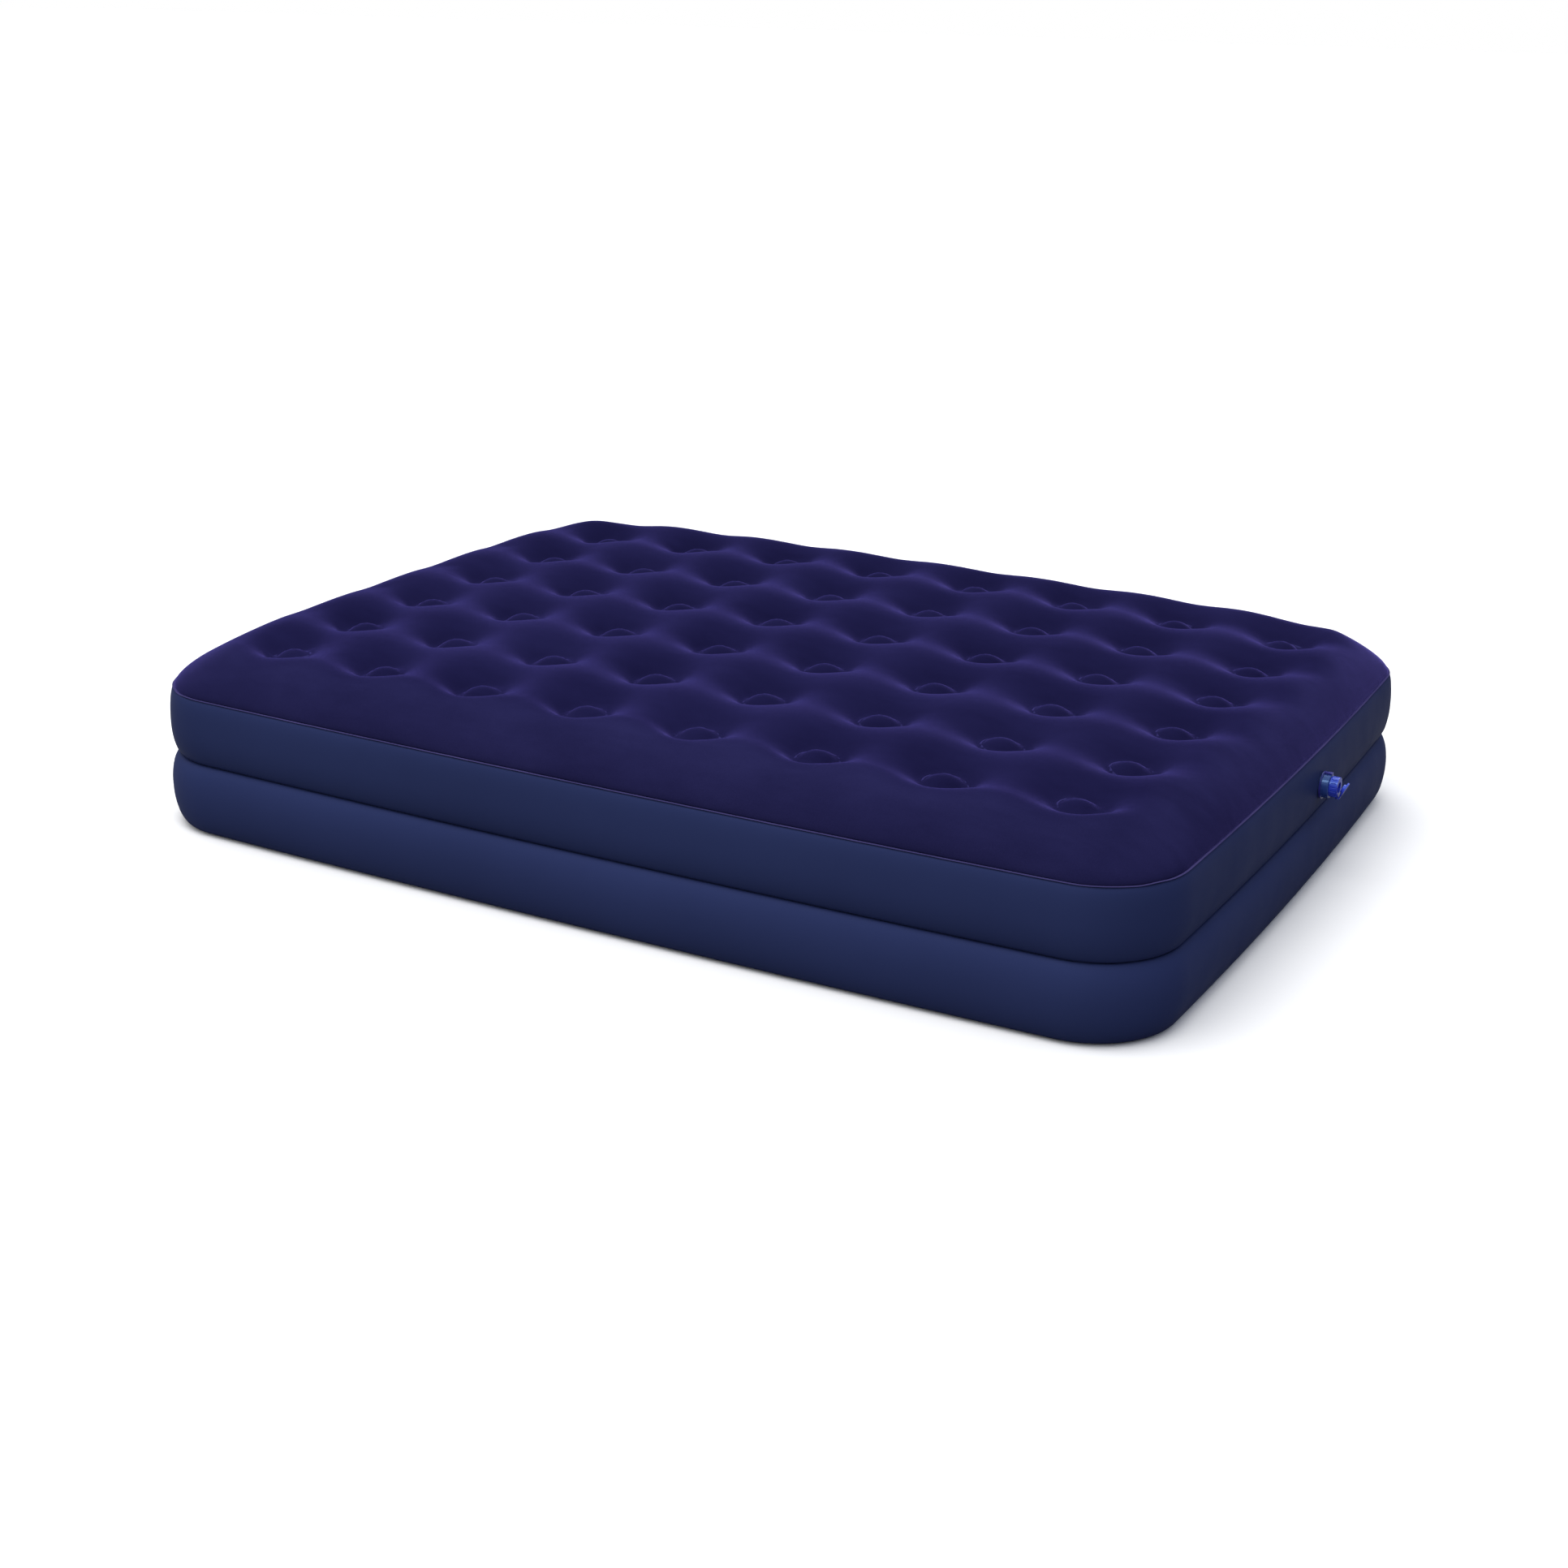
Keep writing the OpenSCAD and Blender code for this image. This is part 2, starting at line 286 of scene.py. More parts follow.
def flock_material(name, dark, light, sheen, shade_hollows=False):
    """Velvet flocking: cloudy streaked patches, fibre speckle and a soft sheen.

    A shaded one has painted light and shade: it is paler round the shoulder and darker in the hollows."""
    mat, tree, shader = new_material(name)
    patches = ramp(tree, noise(tree, 3.2, 5, 0.6, (1, 1.8, 1)), dark, light, 0.32, 0.68)
    strokes = ramp(tree, noise(tree, 22, 3, 0.6, (0.25, 1, 1)), (0.86, 0.86, 0.88), WHITE, 0.35, 0.65)
    fibres = ramp(tree, noise(tree, 900, 2, 0.7), (0.72, 0.72, 0.76), WHITE, 0.35, 0.65)
    colour = mix(tree, mix(tree, patches, strokes, 0.8), fibres, 0.8)
    if shade_hollows:
        # Painted shade, read from the shoulder mark: the flock is painted darker in the hollows.
        place = tree.nodes.new("ShaderNodeAttribute")
        place.attribute_name = "shoulder"
        colour = mix(tree, colour, ramp(tree, place.outputs["Fac"], PAINTED_HOLLOW_SHADE, WHITE), 1)
    tree.links.new(colour, shader.inputs["Base Color"])
    shader.inputs["Roughness"].default_value = 0.9
    shader.inputs["Specular IOR Level"].default_value = 0.0
    shader.inputs["Sheen Weight"].default_value = sheen
    shader.inputs["Sheen Roughness"].default_value = 0.25
    shader.inputs["Sheen Tint"].default_value = SHEEN_TINT
    soft = bump(tree, noise(tree, 30, 4, 0.6), 0.25, 0.002)
    tree.links.new(bump(tree, noise(tree, 1100, 2, 0.7), 0.5, 0.0006, soft), shader.inputs["Normal"])
    return mat


def vinyl_material(name, dark, light, roughness):
    """Smooth satin film with faint cloudiness, scuffs and calender texture."""
    mat, tree, shader = new_material(name)
    tree.links.new(ramp(tree, noise(tree, 2.5, 4), dark, light), shader.inputs["Base Color"])
    gloss = ramp(tree, noise(tree, 9, 5, 0.6), (roughness - 0.05,) * 3, (roughness + 0.06,) * 3)
    tree.links.new(gloss, shader.inputs["Roughness"])
    shader.inputs["Specular IOR Level"].default_value = VINYL_SPECULAR
    soft = bump(tree, noise(tree, 5, 3, 0.5), 0.15, 0.003)
    tree.links.new(bump(tree, noise(tree, 700, 2), 0.12, 0.0003, soft), shader.inputs["Normal"])
    return mat


def clear_material(name, colour, transmission, roughness):
    """Translucent moulded vinyl, a little cloudy."""
    mat, tree, shader = new_material(name)
    pale = tuple(min(1, c * 1.35 + 0.01) for c in colour)
    tree.links.new(ramp(tree, noise(tree, 60, 3), colour, pale), shader.inputs["Base Color"])
    shader.inputs["Transmission Weight"].default_value = transmission
    shader.inputs["Roughness"].default_value = roughness
    shader.inputs["IOR"].default_value = VINYL_IOR
    shader.inputs["Specular Tint"].default_value = CLEAR_TINT
    shader.inputs["Coat Weight"].default_value = 0.15
    shader.inputs["Coat Roughness"].default_value = 0.08
    tree.links.new(bump(tree, noise(tree, 250, 2), 0.1, 0.0003), shader.inputs["Normal"])
    return mat


# The top's flock has painted light and shade: paler round the shoulder, darker in the hollows.
flock = flock_material("flock", (0.0120, 0.0114, 0.048), (0.0168, 0.0160, 0.064), 0.98, True)
# The weld rings are painted paler than the flock: a painted highlight for the bright line along each
# weld.
highlit_ring_flock = flock_material("highlit_ring_flock", (0.022, 0.0200, 0.080), (0.028, 0.026, 0.10), 1.0)
edge_flock = flock_material("edge_flock", (0.040, 0.0360, 0.11), (0.060, 0.052, 0.150), 0.6)
vinyl = vinyl_material("vinyl", (0.0206, 0.0292, 0.090), (0.0232, 0.0330, 0.101), 0.42)
# A paler copy of the wall vinyl for the lower wall: painted light, for the brighter band under the waist
# crease.
lightened_lower_vinyl = vinyl_material("lightened_lower_vinyl", (0.0228, 0.0324, 0.100), (0.0258, 0.0366, 0.112), 0.42)
base_vinyl = vinyl_material("base_vinyl", (0.009, 0.012, 0.038), (0.012, 0.016, 0.048), 0.5)
inner_vinyl = vinyl_material("inner_vinyl", (0.025, 0.033, 0.10), (0.032, 0.043, 0.125), 0.5)
valve_blue = clear_material("valve_blue", (0.030, 0.055, 0.52), 0.25, 0.2)
valve_clear = clear_material("valve_clear", (0.03, 0.07, 0.30), 0.5, 0.14)
tether_blue = clear_material("tether_blue", (0.035, 0.028, 0.24), 0.35, 0.25)
flap_film = clear_material("flap_film", (0.45, 0.5, 0.6), 0.3, 0.4)


# ---------------------------------------------------------------- the flocked top
GRID = 0.0085                           # spacing of the mesh between the shoulders
SHOULDER_W = 0.213
SHOULDER_RISE = 0.105
SHOULDER_POWER = 1.72                   # 2 would make the shoulder's section an ellipse
SHOULDER_LINES = 30
SHOULDER_SOFTNESS = 0.005               # how softly the shoulder runs into the quilting
SHOULDER_FADE = 0.055                   # the height over which the painted shade of the hollows fades out there
CORNER_DROP, CORNER_REACH = 0.65, 0.40  # the shoulder is lower at the corners of the bed
CORNER_SPAN = 0.34                      # the square of mesh that is reshaped to a round corner

RING_R = 0.0375                         # the round weld at the foot of each dimple
SADDLE_RISE, CREST_RISE = 0.0285, 0.0030
PIT_POWER = 1.155
END_FLATTER = 0.08                      # the quilting rises less at the two ends
OUTER_STRETCH = 1.117                   # the last dimples are steeper on their outer side
ROW_SINK = 0.0021                       # each row is this much lower than the one before it
SINK_FADE, SINK_FADE_END = 0.32, 1.25   # and less so at the crests
DOME_RISE = 0.0170                      # the weld disc is domed, and leans away from the middle
TILT_PER_COL, TILT_PER_ROW = -0.050, -0.025

AIR_PRESSURE = 1.6
AIR_LIMIT = 0.0025                      # no point moves further than this in the simulation
CLOTH_FRAMES = 14
HELD_BY_RING, HELD_BY_RIM = 0.004, 0.002
HEAD_GAP = 0.0022                       # between a beam's head and the top over it


def grid_lines(half):
    """Lines across one direction of the plan, close together where the shoulder is steep."""
    turn = np.linspace(0, math.pi / 2, SHOULDER_LINES)
    edge = half - SHOULDER_W * (1 - np.cos(turn))
    flat = half - SHOULDER_W
    middle = np.linspace(-flat, flat, int(2 * flat / GRID))
    return np.concatenate([-edge, middle[1:-1], edge[::-1]])


def rounded_corners(x, y):
    """Moves the points of a rectangle's corners in to a round corner, along rays."""
    cx, cy = HALF_X - CORNER_SPAN, HALF_Y - CORNER_SPAN
    px, py = np.maximum(np.abs(x) - cx, 0), np.maximum(np.abs(y) - cy, 0)
    along = np.maximum(px, py)
    across = np.minimum(px, py)
    slope = np.divide(across, along, out=np.zeros_like(along), where=along > 0)
    flat = CORNER_SPAN - CORNER_R
    b = flat * (1 + slope)
    a = 1 + slope ** 2
    reach = (b + np.sqrt(np.maximum(b ** 2 - a * (2 * flat ** 2 - CORNER_R ** 2), 0))) / a
    pull = np.where(slope * CORNER_SPAN > flat, reach / CORNER_SPAN, 1)
    return (np.sign(x) * (np.minimum(np.abs(x), cx) + px * pull),
            np.sign(y) * (np.minimum(np.abs(y), cy) + py * pull))


def shoulder_height(x, y, inside):
    """The shoulder rises from the seam all round, and less at the corners of the bed."""
    share = np.clip(inside / SHOULDER_W, 0, 1)
    rise = (1 - (1 - share) ** SHOULDER_POWER) ** (1 / SHOULDER_POWER)
    from_end = np.clip((HALF_X - np.abs(x)) / CORNER_REACH, 0, 1)
    from_side = np.clip((HALF_Y - np.abs(y)) / CORNER_REACH, 0, 1)
    return SEAM_Z + SHOULDER_RISE * rise * (1 - CORNER_DROP * ((1 - from_end) * (1 - from_side)) ** 2)


def steps_from_beam(steps, count):
    """Pitches from the nearest line of beams, 0 to 0.5, held at 0.5 outside the last line."""
    past = np.abs(steps) - (count - 1) / 2
    between = np.abs(steps - 0.5 - np.round(steps - 0.5))
    return np.where(past > 0, np.minimum(past * OUTER_STRETCH, 0.5), between)


def taut_sheet(u, v):
    """Height of a sheet under air pressure that is held at points a pitch apart both ways."""
    rows_near = sum(np.log(np.cosh(2 * math.pi * (v - k)) - np.cos(2 * math.pi * u) + 1e-9)
                    for k in (-1, 0, 1))
    return rows_near / (4 * math.pi) - v ** 2 / 2


def quilted_height(x, y):
    """Height of the top over the coil beams: a round pit over each, with a domed disc in its floor."""
    x, y = unbowed(x, y)
    cols = (x - GRID_X) / PITCH_X
    ends = np.minimum((cols / ((COLS - 1) / 2)) ** 2, 1)
    rows = (y - GRID_Y) / (PITCH_Y * (1 + ROW_SPREAD * (1 - ends)))
    u, v = steps_from_beam(cols, COLS), steps_from_beam(rows, ROWS)
    at_ring = taut_sheet(RING_R / PITCH_X / math.sqrt(2), RING_R / PITCH_Y / math.sqrt(2))
    pit = np.maximum((taut_sheet(u, v) - at_ring) / (taut_sheet(0.5, 0) - at_ring), 0)
    from_beam = np.hypot(u * PITCH_X, v * PITCH_Y)
    pit = np.where(from_beam < RING_R, 0, pit)
    dome = np.maximum(1 - (from_beam / RING_R) ** 2, 0)
    last_col, last_row = (COLS - 1) / 2, (ROWS - 1) / 2
    col = np.clip(np.floor(cols) + 0.5, -last_col, last_col)
    row = np.clip(np.floor(rows) + 0.5, -last_row, last_row)
    lean = ((cols - col) * PITCH_X * TILT_PER_COL * col
            + (rows - row) * PITCH_Y * TILT_PER_ROW * row) * np.clip(1 - pit, 0, 1) ** 2
    between = np.sin(math.pi * u) * np.sin(math.pi * v)
    fade = 1 - SINK_FADE * np.minimum(pit, SINK_FADE_END)
    sink = ROW_SINK * np.clip(rows, -last_row, last_row) * fade
    rise = SADDLE_RISE * (1 - END_FLATTER * ends)
    return (PIT_Z - END_DEEPER * ends - sink + lean + rise * pit ** PIT_POWER
            + CREST_RISE * between ** 2 + DOME_RISE * dome)


def top_height(x, y, inside):
    """The lower of the rounded shoulder and the quilted middle, blended softly."""
    shoulder, quilt = shoulder_height(x, y, inside), quilted_height(x, y)
    gap = np.clip(1 - np.abs(shoulder - quilt) / (2 * SHOULDER_SOFTNESS), 0, 1)
    return np.minimum(shoulder, quilt) - SHOULDER_SOFTNESS / 2 * gap ** 2


def make_top():
    """The flocked top, with a mark on each point of how much it belongs to the shoulder, for the flock's
    painted shade in the hollows.
    """
    gx, gy = np.meshgrid(grid_lines(HALF_X), grid_lines(HALF_Y), indexing="ij")
    ux, uy = rounded_corners(gx, gy)
    x, y = bowed(ux, uy)
    inside = np.maximum(inside_distance(ux, uy), 0)
    z = np.where(inside > 0, top_height(x, y, inside), SEAM_Z)
    rows, cols = x.shape
    index = np.arange(rows * cols).reshape(rows, cols)
    faces = np.stack([index[:-1, :-1], index[1:, :-1], index[1:, 1:], index[:-1, 1:]], -1)
    points = np.stack([x, y, z], -1).reshape(-1, 3)
    top = add_mesh("flocked_top", points, faces.reshape(-1, 4).tolist(), flock)
    # The mark sets the flock's painted shade: low in the hollows, where the flock is painted darker.
    above = quilted_height(x, y) - shoulder_height(x, y, inside)
    shoulder = top.data.attributes.new("shoulder", "FLOAT", "POINT")
    shoulder.data.foreach_set("value", np.clip(0.5 + above / SHOULDER_FADE, 0, 1).ravel())
    from_beam = np.min([np.hypot(x - bx, y - by) for bx, by in beam_centres()], 0)
    inflate(top, np.flatnonzero((from_beam < RING_R + HELD_BY_RING) | (inside < HELD_BY_RIM)))
    thicken(top, TOP_T)
    return top


def inflate(obj, held):
    """A short cloth simulation under air pressure. The welds stay put, and no point moves far."""
    start = np.empty(len(obj.data.vertices) * 3)
    obj.data.vertices.foreach_get("co", start)
    group = obj.vertex_groups.new(name="welds")
    group.add(held.tolist(), 1.0, "REPLACE")
    cloth = obj.modifiers.new("air", "CLOTH")
    fabric = cloth.settings
    fabric.quality = 4
    fabric.mass = 0.25
    fabric.tension_stiffness = fabric.compression_stiffness = 25
    fabric.shear_stiffness = 12
    fabric.bending_stiffness = 2.0
    fabric.tension_damping = fabric.compression_damping = fabric.shear_damping = 12
    fabric.use_pressure = True
    fabric.uniform_pressure_force = AIR_PRESSURE
    fabric.vertex_group_mass = "welds"
    fabric.effector_weights.gravity = 0
    scene = bpy.context.scene
    cloth.point_cache.frame_end = CLOTH_FRAMES
    for frame_number in range(1, CLOTH_FRAMES + 1):
        scene.frame_set(frame_number)
    graph = bpy.context.evaluated_depsgraph_get()
    moved = np.empty_like(start)
    obj.evaluated_get(graph).data.vertices.foreach_get("co", moved)
    step = (moved - start).reshape(-1, 3)
    length = np.linalg.norm(step, axis=1, keepdims=True)
    step *= AIR_LIMIT * np.tanh(length / AIR_LIMIT) / np.maximum(length, 1e-9)
    obj.modifiers.clear()
    obj.vertex_groups.clear()
    scene.frame_set(1)
    obj.data.vertices.foreach_set("co", start + step.ravel())
    obj.data.update()


def beam_profile(low, head):
    """Half a section of one coil beam, as (radius, height): a thin tube hemmed at both ends."""
    inner = BEAM_R - BEAM_T
    return [(inner, low), (HEM_R, low), (HEM_R, low + BEAM_T), (BEAM_R, low + BEAM_T),
            (BEAM_R, head - BEAM_T), (HEM_R, head - BEAM_T), (HEM_R, head), (inner, head)]


def make_beams(name, row, low, on_top):
    """One row of coil beams. Where on_top is None they reach up to the quilted top."""
    around = 40
    points, faces = [], []
    for bx, by in beam_centres()[row * COLS:(row + 1) * COLS]:
        start = len(points)
        for k in range(around):
            turn = 2 * math.pi * k / around
            c, s = math.cos(turn), math.sin(turn)
            head = on_top
            if head is None:
                at = (np.array(bx + BEAM_R * c), np.array(by + BEAM_R * s))
                head = float(quilted_height(*at)) - HEAD_GAP
            profile = beam_profile(low, head)
            points += [(bx + r * c, by + r * s, z) for r, z in profile]
        faces += closed_ring_faces(start, around, len(profile))
    return add_mesh(name, points, faces, inner_vinyl)


def make_weld_rings():
    """The raised ring of each weld, round the foot of its dome."""
    half_w, half_h = 0.0021, 0.0015
    sides, around = 8, 64
    points, faces = [], []
    for bx, by in beam_centres():
        faces += closed_ring_faces(len(points), around, sides)
        for k in range(around):
            turn = 2 * math.pi * k / around
            for m in range(sides):
                side = 2 * math.pi * m / sides
                r = RING_R + half_w * math.cos(side)
                px, py = bx + r * math.cos(turn), by + r * math.sin(turn)
                floor_z = float(quilted_height(np.array(px), np.array(py)))
                points.append((px, py, floor_z + half_h * math.sin(side)))
    return add_mesh("weld_rings", points, faces, highlit_ring_flock)


# ---------------------------------------------------------------- walls and seams
RIM_COUNT = 520
WALL_STEPS = 34
UPPER_BELLY, LOWER_BELLY = 0.48, 0.56   # where up each wall it bulges most
PUCKER_REACH = 6                        # a high power keeps the puckers close to the weld

rim = rim_points(RIM_COUNT)
rim_share = np.arange(RIM_COUNT) / RIM_COUNT
cornering = np.clip(np.minimum(np.abs(rim[:, 2]), np.abs(rim[:, 3])) * 2, 0, 1)


def ripple(waves, seed, amount):
    """A periodic unevenness round the bed, made of a few sine waves."""
    local = np.random.default_rng(seed)
    total = np.zeros(RIM_COUNT)
    for wave in waves:
        total += np.sin(2 * math.pi * (wave * rim_share + local.random())) * (0.5 + local.random())
    return amount * total / len(waves)


def wall_sections(foot, crest, head, pucker_foot, pucker_head):
    """Rings up one wall, from its foot over its bulge to its head, puckered near both welds."""
    sections = []
    for k in range(WALL_STEPS + 1):
        turn = math.pi * (k / WALL_STEPS - 0.5)
        end = foot if turn < 0 else head
        out = end[0] + (crest[0] - end[0]) * math.cos(turn)
        height = crest[1] + abs(end[1] - crest[1]) * math.sin(turn)
        near = abs(math.sin(turn)) ** PUCKER_REACH
        pucker = pucker_foot if turn < 0 else pucker_head
        fade = math.cos(turn) ** 0.5 if abs(turn) < math.pi / 2 else 0
        sections.append((out + pucker * near * fade, height))
    return sections


def make_walls():
    """The walls of the two tiers. The welds pucker most round the corners."""
    small = (0.15 + cornering) * ripple((61, 83, 97, 118), 3, 0.0016)
    tiny = (0.2 + cornering) * ripple((53, 71, 109), 5, 0.0010)
    belly = WAIST_Z + UPPER_BELLY * (SEAM_Z - WAIST_Z)
    upper = sweep("upper_wall", rim, wall_sections(
        (-WAIST_TUCK, WAIST_Z + WELD_GAP), (UPPER_BULGE, belly), (0, SEAM_Z - 0.0006),
        tiny, small), vinyl)
    thicken(upper, FILM_T)
    foot_z = base_high[2] + 0.001
    belly = foot_z + LOWER_BELLY * (WAIST_Z - foot_z)
    lower = sweep("lower_wall", rim, wall_sections(
        (-FOOT_TUCK, foot_z), (LOWER_BULGE, belly), (-WAIST_TUCK, WAIST_Z - WELD_GAP),
        0, tiny), lightened_lower_vinyl)
    thicken(lower, FILM_T)
    return upper, lower


def strip(name, inner, outer, low, high, wave, material):
    """A flat welded strip round the bed whose free edge waves up and down a little."""
    mid = (low + high) / 2
    edge = (high - low) * 0.25
    shoulder = outer - 0.0005
    return sweep(name, rim, [(inner, low), (shoulder, mid - edge + wave), (outer, mid + wave),
                             (shoulder, mid + edge + wave), (inner, high)], material, closed=True)


def make_seams():
    """The flange of the top seam, which stands proud, and the weld in the waist crease."""
    wave = (0.3 + 1.5 * cornering) * ripple((47, 67, 89, 131), 11, 0.0012)
    half = (flange_high[2] - flange_low[2]) / 2
    top = strip("top_seam_edge", -0.006, FLANGE_PROUD + 0.0008, SEAM_Z - half, SEAM_Z + half,
                wave * 0.7, edge_flock)
    waist = strip("waist_weld", -WAIST_TUCK - 0.009, 0.0012 - WAIST_TUCK, WAIST_Z - FILM_T,
                  WAIST_Z + FILM_T, wave * 0.2, vinyl)
    return top, waist


def make_underside():
    """The underside, with the weld strip that joins it to the lower wall."""
    out = [-FOOT_TUCK, -FOOT_TUCK - 0.02, -0.2, -0.6]
    rings = sweep("underside", rim, [(o, base_low[2] + 0.0008) for o in out], base_vinyl)
    points = [tuple(v.co) for v in rings.data.vertices]
    faces = [tuple(reversed(p.vertices)) for p in rings.data.polygons]
    last = (len(out) - 1) * RIM_COUNT
    faces.append(tuple(last + j for j in reversed(range(RIM_COUNT))))
    bpy.data.objects.remove(rings)
    sheet = add_mesh("underside_sheet", points, faces, base_vinyl, smooth=False)
    thicken(sheet, FILM_T)
    edge = strip("base_weld", -FOOT_TUCK - 0.012, -FOOT_TUCK + 0.0012, base_high[2],
                 base_high[2] + 0.0014, 0, base_vinyl)
    return sheet, edge


def copy_of_node(node, name, material):
    """A new piece with a CAD node's mesh."""
    mesh = bpy.data.objects[node].data.copy()
    mesh.materials.clear()
    mesh.materials.append(material)
    obj = bpy.data.objects.new(name, mesh)
    bpy.context.collection.objects.link(obj)
    return obj


def make_inner_sheet():
    """The sheet between the two chambers. Its rim is drawn in to meet the walls at the waist."""
    sheet = copy_of_node("middle_sheet", "inner_sheet", inner_vinyl)
    for v in sheet.data.vertices:
        if inside_distance(*unbowed(v.co.x, v.co.y)) < 2 * WAIST_TUCK:
            v.co.x *= 1 - WAIST_TUCK / HALF_X
            v.co.y *= 1 - WAIST_TUCK / HALF_Y
    return sheet


top = make_top()
rings = make_weld_rings()
upper_wall, lower_wall = make_walls()
top_edge, waist_weld = make_seams()
underside, base_weld = make_underside()

soften_with_air(top, "flocked_top", "top_sheet")
soften_with_air(rings, "flocked_top", "top_sheet")
soften_with_air(top_edge, "seam_edge", "top_seam_flange")
soften_with_air(upper_wall, "wall_vinyl", "upper_side_wall")
soften_with_air(lower_wall, "wall_vinyl", "lower_side_wall")
soften_with_air(waist_weld, "wall_vinyl", "waist_seam")
soften_with_air(underside, "base_vinyl", "bottom_sheet")
soften_with_air(base_weld, "base_vinyl", "bottom_seam_flange")
soften_with_air(make_inner_sheet(), "inner_vinyl", "middle_sheet")
for row in range(ROWS):
    upper_beams = make_beams(f"upper_beams_{row + 1}", row, WAIST_Z + 0.001, None)
    soften_with_air(upper_beams, "inner_vinyl", f"upper_coil_beams_row_{row + 1}")
    lower_beams = make_beams(f"lower_beams_{row + 1}", row, base_high[2] + 0.0002, WAIST_Z - 0.001)
    soften_with_air(lower_beams, "inner_vinyl", f"lower_coil_beams_row_{row + 1}")


# ---------------------------------------------------------------- the valve, mostly carried over from CAD
collar_low, collar_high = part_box("valve_base")
VALVE_Y = (collar_low[1] + collar_high[1]) / 2
VALVE_Z = (collar_low[2] + collar_high[2]) / 2
COLLAR_R = (collar_high[1] - collar_low[1]) / 2 - 0.013
BORE_R = COLLAR_R - 0.005
DISC_R, DISC_T = COLLAR_R + 0.004, 0.0014
FILLET_R = 0.003
LIP_LENGTH = 0.0018


def turned(name, profile, material, around=96):
    """A closed profile of (x, radius) turned about the valve's axis."""
    points = []
    for k in range(around):
        turn = 2 * math.pi * k / around
        points += [(x, VALVE_Y + r * math.cos(turn), VALVE_Z + r * math.sin(turn)) for x, r in profile]
    return add_mesh(name, points, closed_ring_faces(0, around, len(profile)), material)


def make_valve_collar():
    """The collar: a rounded mouth, a fillet at its foot, and the inner part of its weld disc.

    The rest of the disc is hidden inside the wall, and is left out so that the wall can fold flat."""
    back, mouth = collar_low[0], collar_high[0]
    face = back + DISC_T
    disc = [(back, BORE_R), (back, DISC_R), (face, DISC_R)]
    fillet = [(face + FILLET_R * (1 - math.cos(a)), COLLAR_R + FILLET_R * (1 - math.sin(a)))
              for a in np.linspace(0, math.pi / 2, 7)]
    lip_r = (COLLAR_R - BORE_R) / 2
    lip = [(mouth - LIP_LENGTH * (1 - math.sin(a)), BORE_R + lip_r * (1 + math.cos(a)))
           for a in np.linspace(0, math.pi, 13)]
    return turned("valve_collar", disc + fillet + lip, valve_clear)


collar = make_valve_collar()
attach(collar, "valve_mount")
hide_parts("valve_base")

valve_materials = {"valve_plug": valve_blue, "plug_tether": tether_blue, "check_flap": flap_film,
                   "valve_lid": valve_blue, "lid_strap": valve_blue}
for node, material in valve_materials.items():
    for slot in bpy.data.objects[node].material_slots:
        slot.material = material


# ---------------------------------------------------------------- floor, light and camera
FLOOR_HALF, FLOOR_Z = 60, -0.0005
SKY_LOW, SKY_HIGH, SKY_STRENGTH = (0.10, 0.11, 0.13), WHITE, 1.7
END_LIGHT = (0.28, 0.33, 0.46)          # the room is dimmer beyond the valve end
CAMERA_ANGLES = (28.137, 19.705, 1.136)  # azimuth, elevation and roll, in degrees
CAMERA_DISTANCE = 4.386
CAMERA_LENS = 51.765
AIM_Z, AIM_LEFT, AIM_DOWN = 0.15, 0.0202, 0.1063


def show_to_camera(tree, for_light, for_camera, output):
    """Seen directly, the stage is the second shader, and it lights the bed as the first one."""
    path = tree.nodes.new("ShaderNodeLightPath")
    either = tree.nodes.new("ShaderNodeMixShader")
    tree.links.new(path.outputs["Is Camera Ray"], either.inputs[0])
    tree.links.new(for_light.outputs[0], either.inputs[1])
    tree.links.new(for_camera.outputs[0], either.inputs[2])
    tree.links.new(either.outputs[0], output.inputs["Surface"])


def make_floor():
    """A white sweep that lights the bed from below only as much as a grey one would."""
    mat, tree, shader = new_material("studio_floor")
    tree.links.new(ramp(tree, noise(tree, 1.5, 3), (0.90, 0.90, 0.905), (0.92, 0.92, 0.92)),
                   shader.inputs["Base Color"])
    shader.inputs["Roughness"].default_value = 0.8
    shader.inputs["Specular IOR Level"].default_value = 0.1
    bounce = tree.nodes.new("ShaderNodeBsdfDiffuse")
    bounce.inputs["Color"].default_value = (0.25, 0.25, 0.26, 1)
    show_to_camera(tree, bounce, shader, tree.nodes["Material Output"])
    corners = [(-1, -1), (1, -1), (1, 1), (-1, 1)]
    floor = add_mesh("floor", [(FLOOR_HALF * x, FLOOR_HALF * y, FLOOR_Z) for x, y in corners],
                     [(0, 1, 2, 3)], mat)


def add_area(name, place, aim, size, power):
    """A softbox at a place, aimed at a point."""
    light = bpy.data.lights.new(name, "AREA")
    light.shape = "RECTANGLE"
    light.size, light.size_y = size
    light.energy = power
    obj = bpy.data.objects.new(name, light)
    bpy.context.collection.objects.link(obj)
    obj.location = place
    obj.rotation_euler = (Vector(aim) - Vector(place)).to_track_quat("-Z", "Y").to_euler()


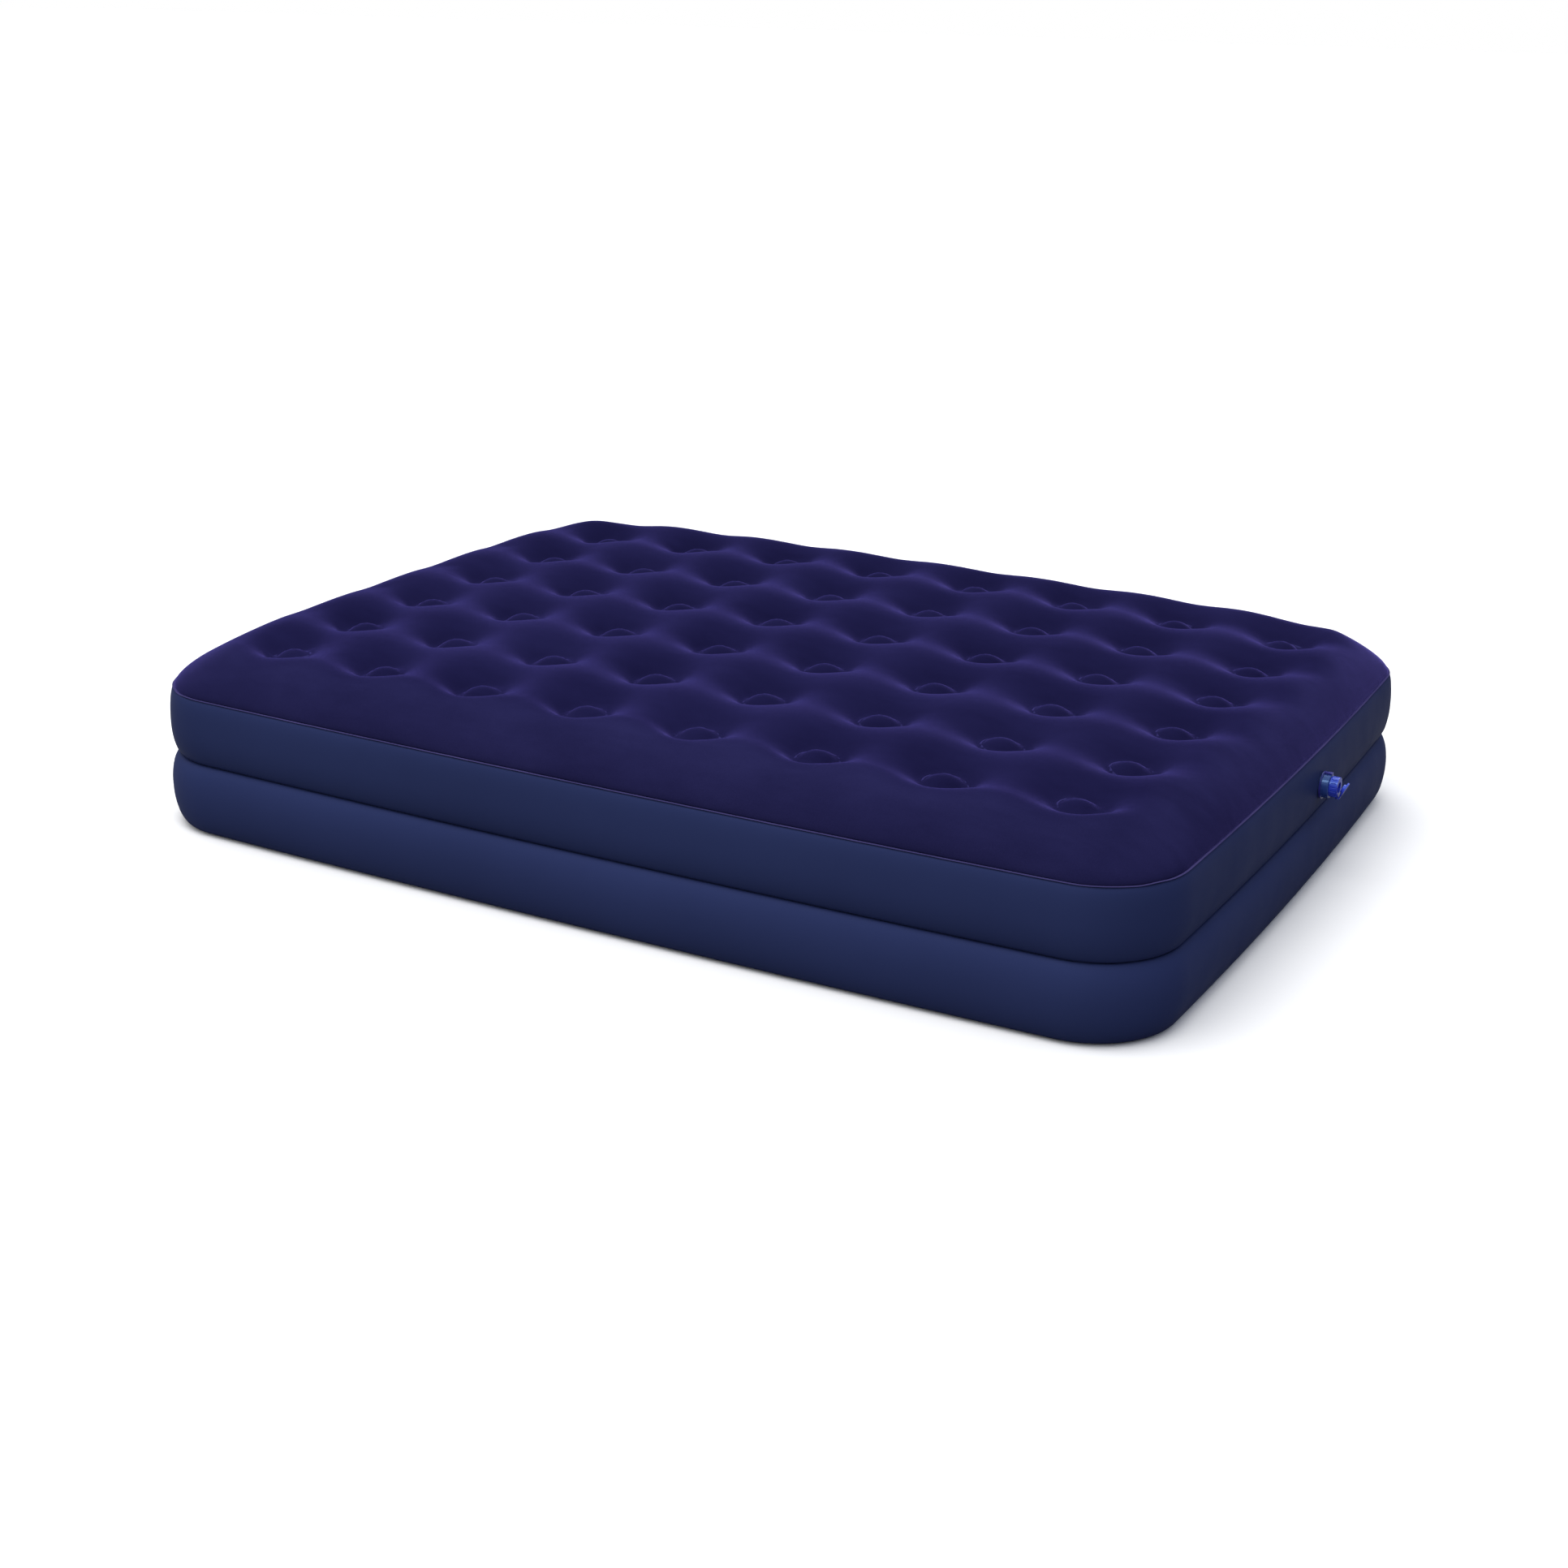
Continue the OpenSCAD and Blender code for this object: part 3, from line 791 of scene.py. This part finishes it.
def make_light():
    """A pale room that is darker near the floor, a softbox overhead and one behind."""
    world = bpy.data.worlds.new("studio")
    bpy.context.scene.world = world
    world.use_nodes = True
    tree = world.node_tree
    coords = tree.nodes.new("ShaderNodeTexCoord")
    split = tree.nodes.new("ShaderNodeSeparateXYZ")
    tree.links.new(coords.outputs["Generated"], split.inputs["Vector"])
    sky = ramp(tree, split.outputs["Z"], SKY_LOW, SKY_HIGH, 0.0, 0.85)
    far_end = ramp(tree, split.outputs["X"], WHITE, END_LIGHT, 0.15, 0.85)
    tree.links.new(mix(tree, sky, far_end, 1), tree.nodes["Background"].inputs["Color"])
    tree.nodes["Background"].inputs["Strength"].default_value = SKY_STRENGTH
    backdrop = tree.nodes.new("ShaderNodeBackground")
    backdrop.inputs["Color"].default_value = (1, 1, 1, 1)
    show_to_camera(tree, tree.nodes["Background"], backdrop, tree.nodes["World Output"])
    add_area("overhead", (-0.2, -1.5, 2.8), (0, -0.4, 0), (3.4, 1.0), 48)
    add_area("behind", (-0.4, 1.8, 2.2), (0, 0, 0.2), (3.0, 0.8), 22)


def make_camera():
    """The photograph's view, from above and in front, a little to the valve's end of the bed."""
    azimuth, elevation, roll = (math.radians(a) for a in CAMERA_ANGLES)
    back = Vector((math.sin(azimuth) * math.cos(elevation), -math.cos(azimuth) * math.cos(elevation),
                   math.sin(elevation)))
    level = Vector((math.cos(azimuth), math.sin(azimuth), 0))
    rise = back.cross(level)
    right = level * math.cos(roll) + rise * math.sin(roll)
    up = rise * math.cos(roll) - level * math.sin(roll)
    target = Vector((0, 0, AIM_Z)) - AIM_LEFT * level - AIM_DOWN * rise
    place = target + back * CAMERA_DISTANCE
    data = bpy.data.cameras.new("camera")
    data.lens = CAMERA_LENS
    data.sensor_width = 36
    camera = bpy.data.objects.new("camera", data)
    bpy.context.collection.objects.link(camera)
    camera.matrix_world = Matrix((
        (right.x, up.x, back.x, place.x),
        (right.y, up.y, back.y, place.y),
        (right.z, up.z, back.z, place.z),
        (0, 0, 0, 1)))
    bpy.context.scene.camera = camera


make_floor()
make_light()
make_camera()
bpy.context.scene.view_settings.view_transform = "Standard"
